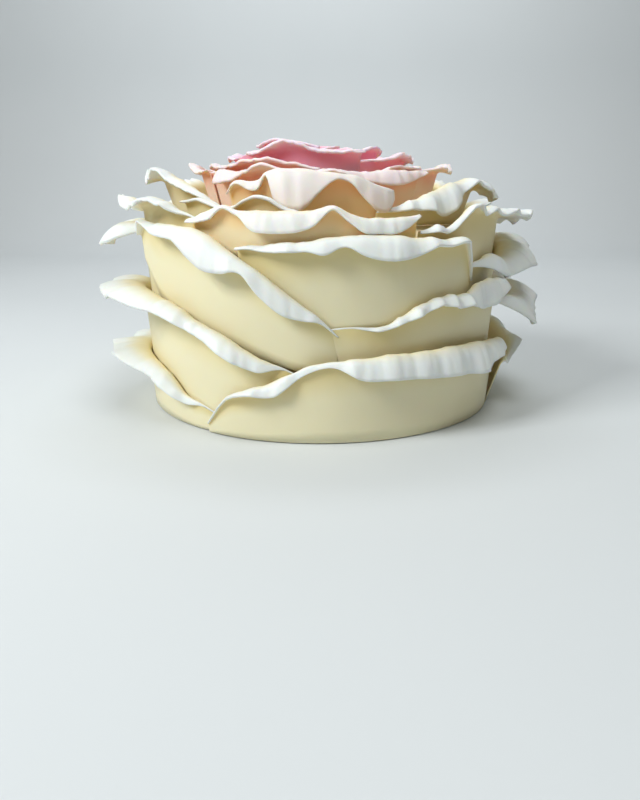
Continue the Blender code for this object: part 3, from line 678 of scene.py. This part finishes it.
# Floor, light and camera
# A plain pale sweep under soft light from the upper left, with one lamp for the backdrop.
# The camera stands at the height of the cake's top edge and looks a little down.
SWEEP_HALF_WIDTH = 3.0
SWEEP_FRONT = -2.0
SWEEP_BACK = 1.1
SWEEP_CURVE = 0.5
SWEEP_HEIGHT = 2.2
SWEEP_STEPS = 16
CAKE_MIDDLE = (0.0, 0.0, 0.08)
BACKDROP_MIDDLE = (0.0, 1.6, 0.6)
CAMERA_PLACE = (0.0, -0.443, 0.125)
CAMERA_DIP = 16.96


def make_sweep():
    """Floor that curves up into a backdrop."""
    line = [(SWEEP_FRONT, 0.0)]
    for step in range(SWEEP_STEPS + 1):
        turn = math.pi / 2 * step / SWEEP_STEPS
        line.append((SWEEP_BACK + SWEEP_CURVE * math.sin(turn),
                     SWEEP_CURVE * (1.0 - math.cos(turn))))
    line.append((SWEEP_BACK + SWEEP_CURVE, SWEEP_HEIGHT))
    points = []
    for y, z in line:
        points.append((-SWEEP_HALF_WIDTH, y, z))
        points.append((SWEEP_HALF_WIDTH, y, z))
    faces = [(2 * i, 2 * i + 1, 2 * i + 3, 2 * i + 2) for i in range(len(line) - 1)]
    mesh = bpy.data.meshes.new("sweep")
    mesh.from_pydata(points, [], faces)
    mesh.shade_smooth()
    sweep = bpy.data.objects.new("sweep", mesh)
    bpy.context.scene.collection.objects.link(sweep)
    material = bpy.data.materials.new("pale_sweep")
    material.use_nodes = True
    tree = material.node_tree
    shader = tree.nodes["Principled BSDF"]
    shader.inputs["Roughness"].default_value = 0.7
    place = add_node(tree, "ShaderNodeTexCoord", output="Object")
    cloud = add_node(tree, "ShaderNodeTexNoise", {"Vector": place, "Scale": 3.0})
    ramp = tree.nodes.new("ShaderNodeValToRGB")
    ramp.color_ramp.elements[0].color = (0.64, 0.68, 0.70, 1.0)
    ramp.color_ramp.elements[1].color = (0.68, 0.72, 0.74, 1.0)
    tree.links.new(cloud, ramp.inputs["Fac"])
    tree.links.new(ramp.outputs["Color"], shader.inputs["Base Color"])
    mesh.materials.append(material)
    return sweep


def aim(thing, target):
    """Turn a light or camera so that it looks at a point."""
    thing.rotation_euler = (Vector(target) - thing.location).to_track_quat("-Z", "Y").to_euler()


def area_light(name, place, size, power, colour, target=CAKE_MIDDLE):
    """Soft square light that looks at the middle of the cake or at another point."""
    data = bpy.data.lights.new(name, "AREA")
    data.shape = "SQUARE"
    data.size = size
    data.energy = power
    data.color = colour
    light = bpy.data.objects.new(name, data)
    light.location = place
    aim(light, target)
    bpy.context.scene.collection.objects.link(light)


make_sweep()
area_light("key_light", (-0.80, -0.60, 0.80), 0.40, 11.0, (0.99, 1.0, 1.0))
area_light("top_light", (0.20, -0.40, 1.25), 0.5, 4.6, (0.97, 1.0, 1.0))
area_light("backdrop_light", (0.0, 0.8, 1.6), 1.0, 13.0, (0.97, 0.99, 1.0), BACKDROP_MIDDLE)
world = bpy.data.worlds.new("studio")
world.use_nodes = True
world.node_tree.nodes["Background"].inputs["Color"].default_value = (1.0, 0.97, 0.90, 1.0)
world.node_tree.nodes["Background"].inputs["Strength"].default_value = 0.22
bpy.context.scene.world = world
bpy.context.scene.view_settings.view_transform = "Standard"

camera_data = bpy.data.cameras.new("camera")
camera_data.lens = 29.25
camera_data.sensor_width = 36.0
camera = bpy.data.objects.new("camera", camera_data)
camera.location = CAMERA_PLACE
camera.rotation_euler = (math.radians(90.0 - CAMERA_DIP), 0.0, 0.0)
bpy.context.scene.collection.objects.link(camera)
bpy.context.scene.camera = camera
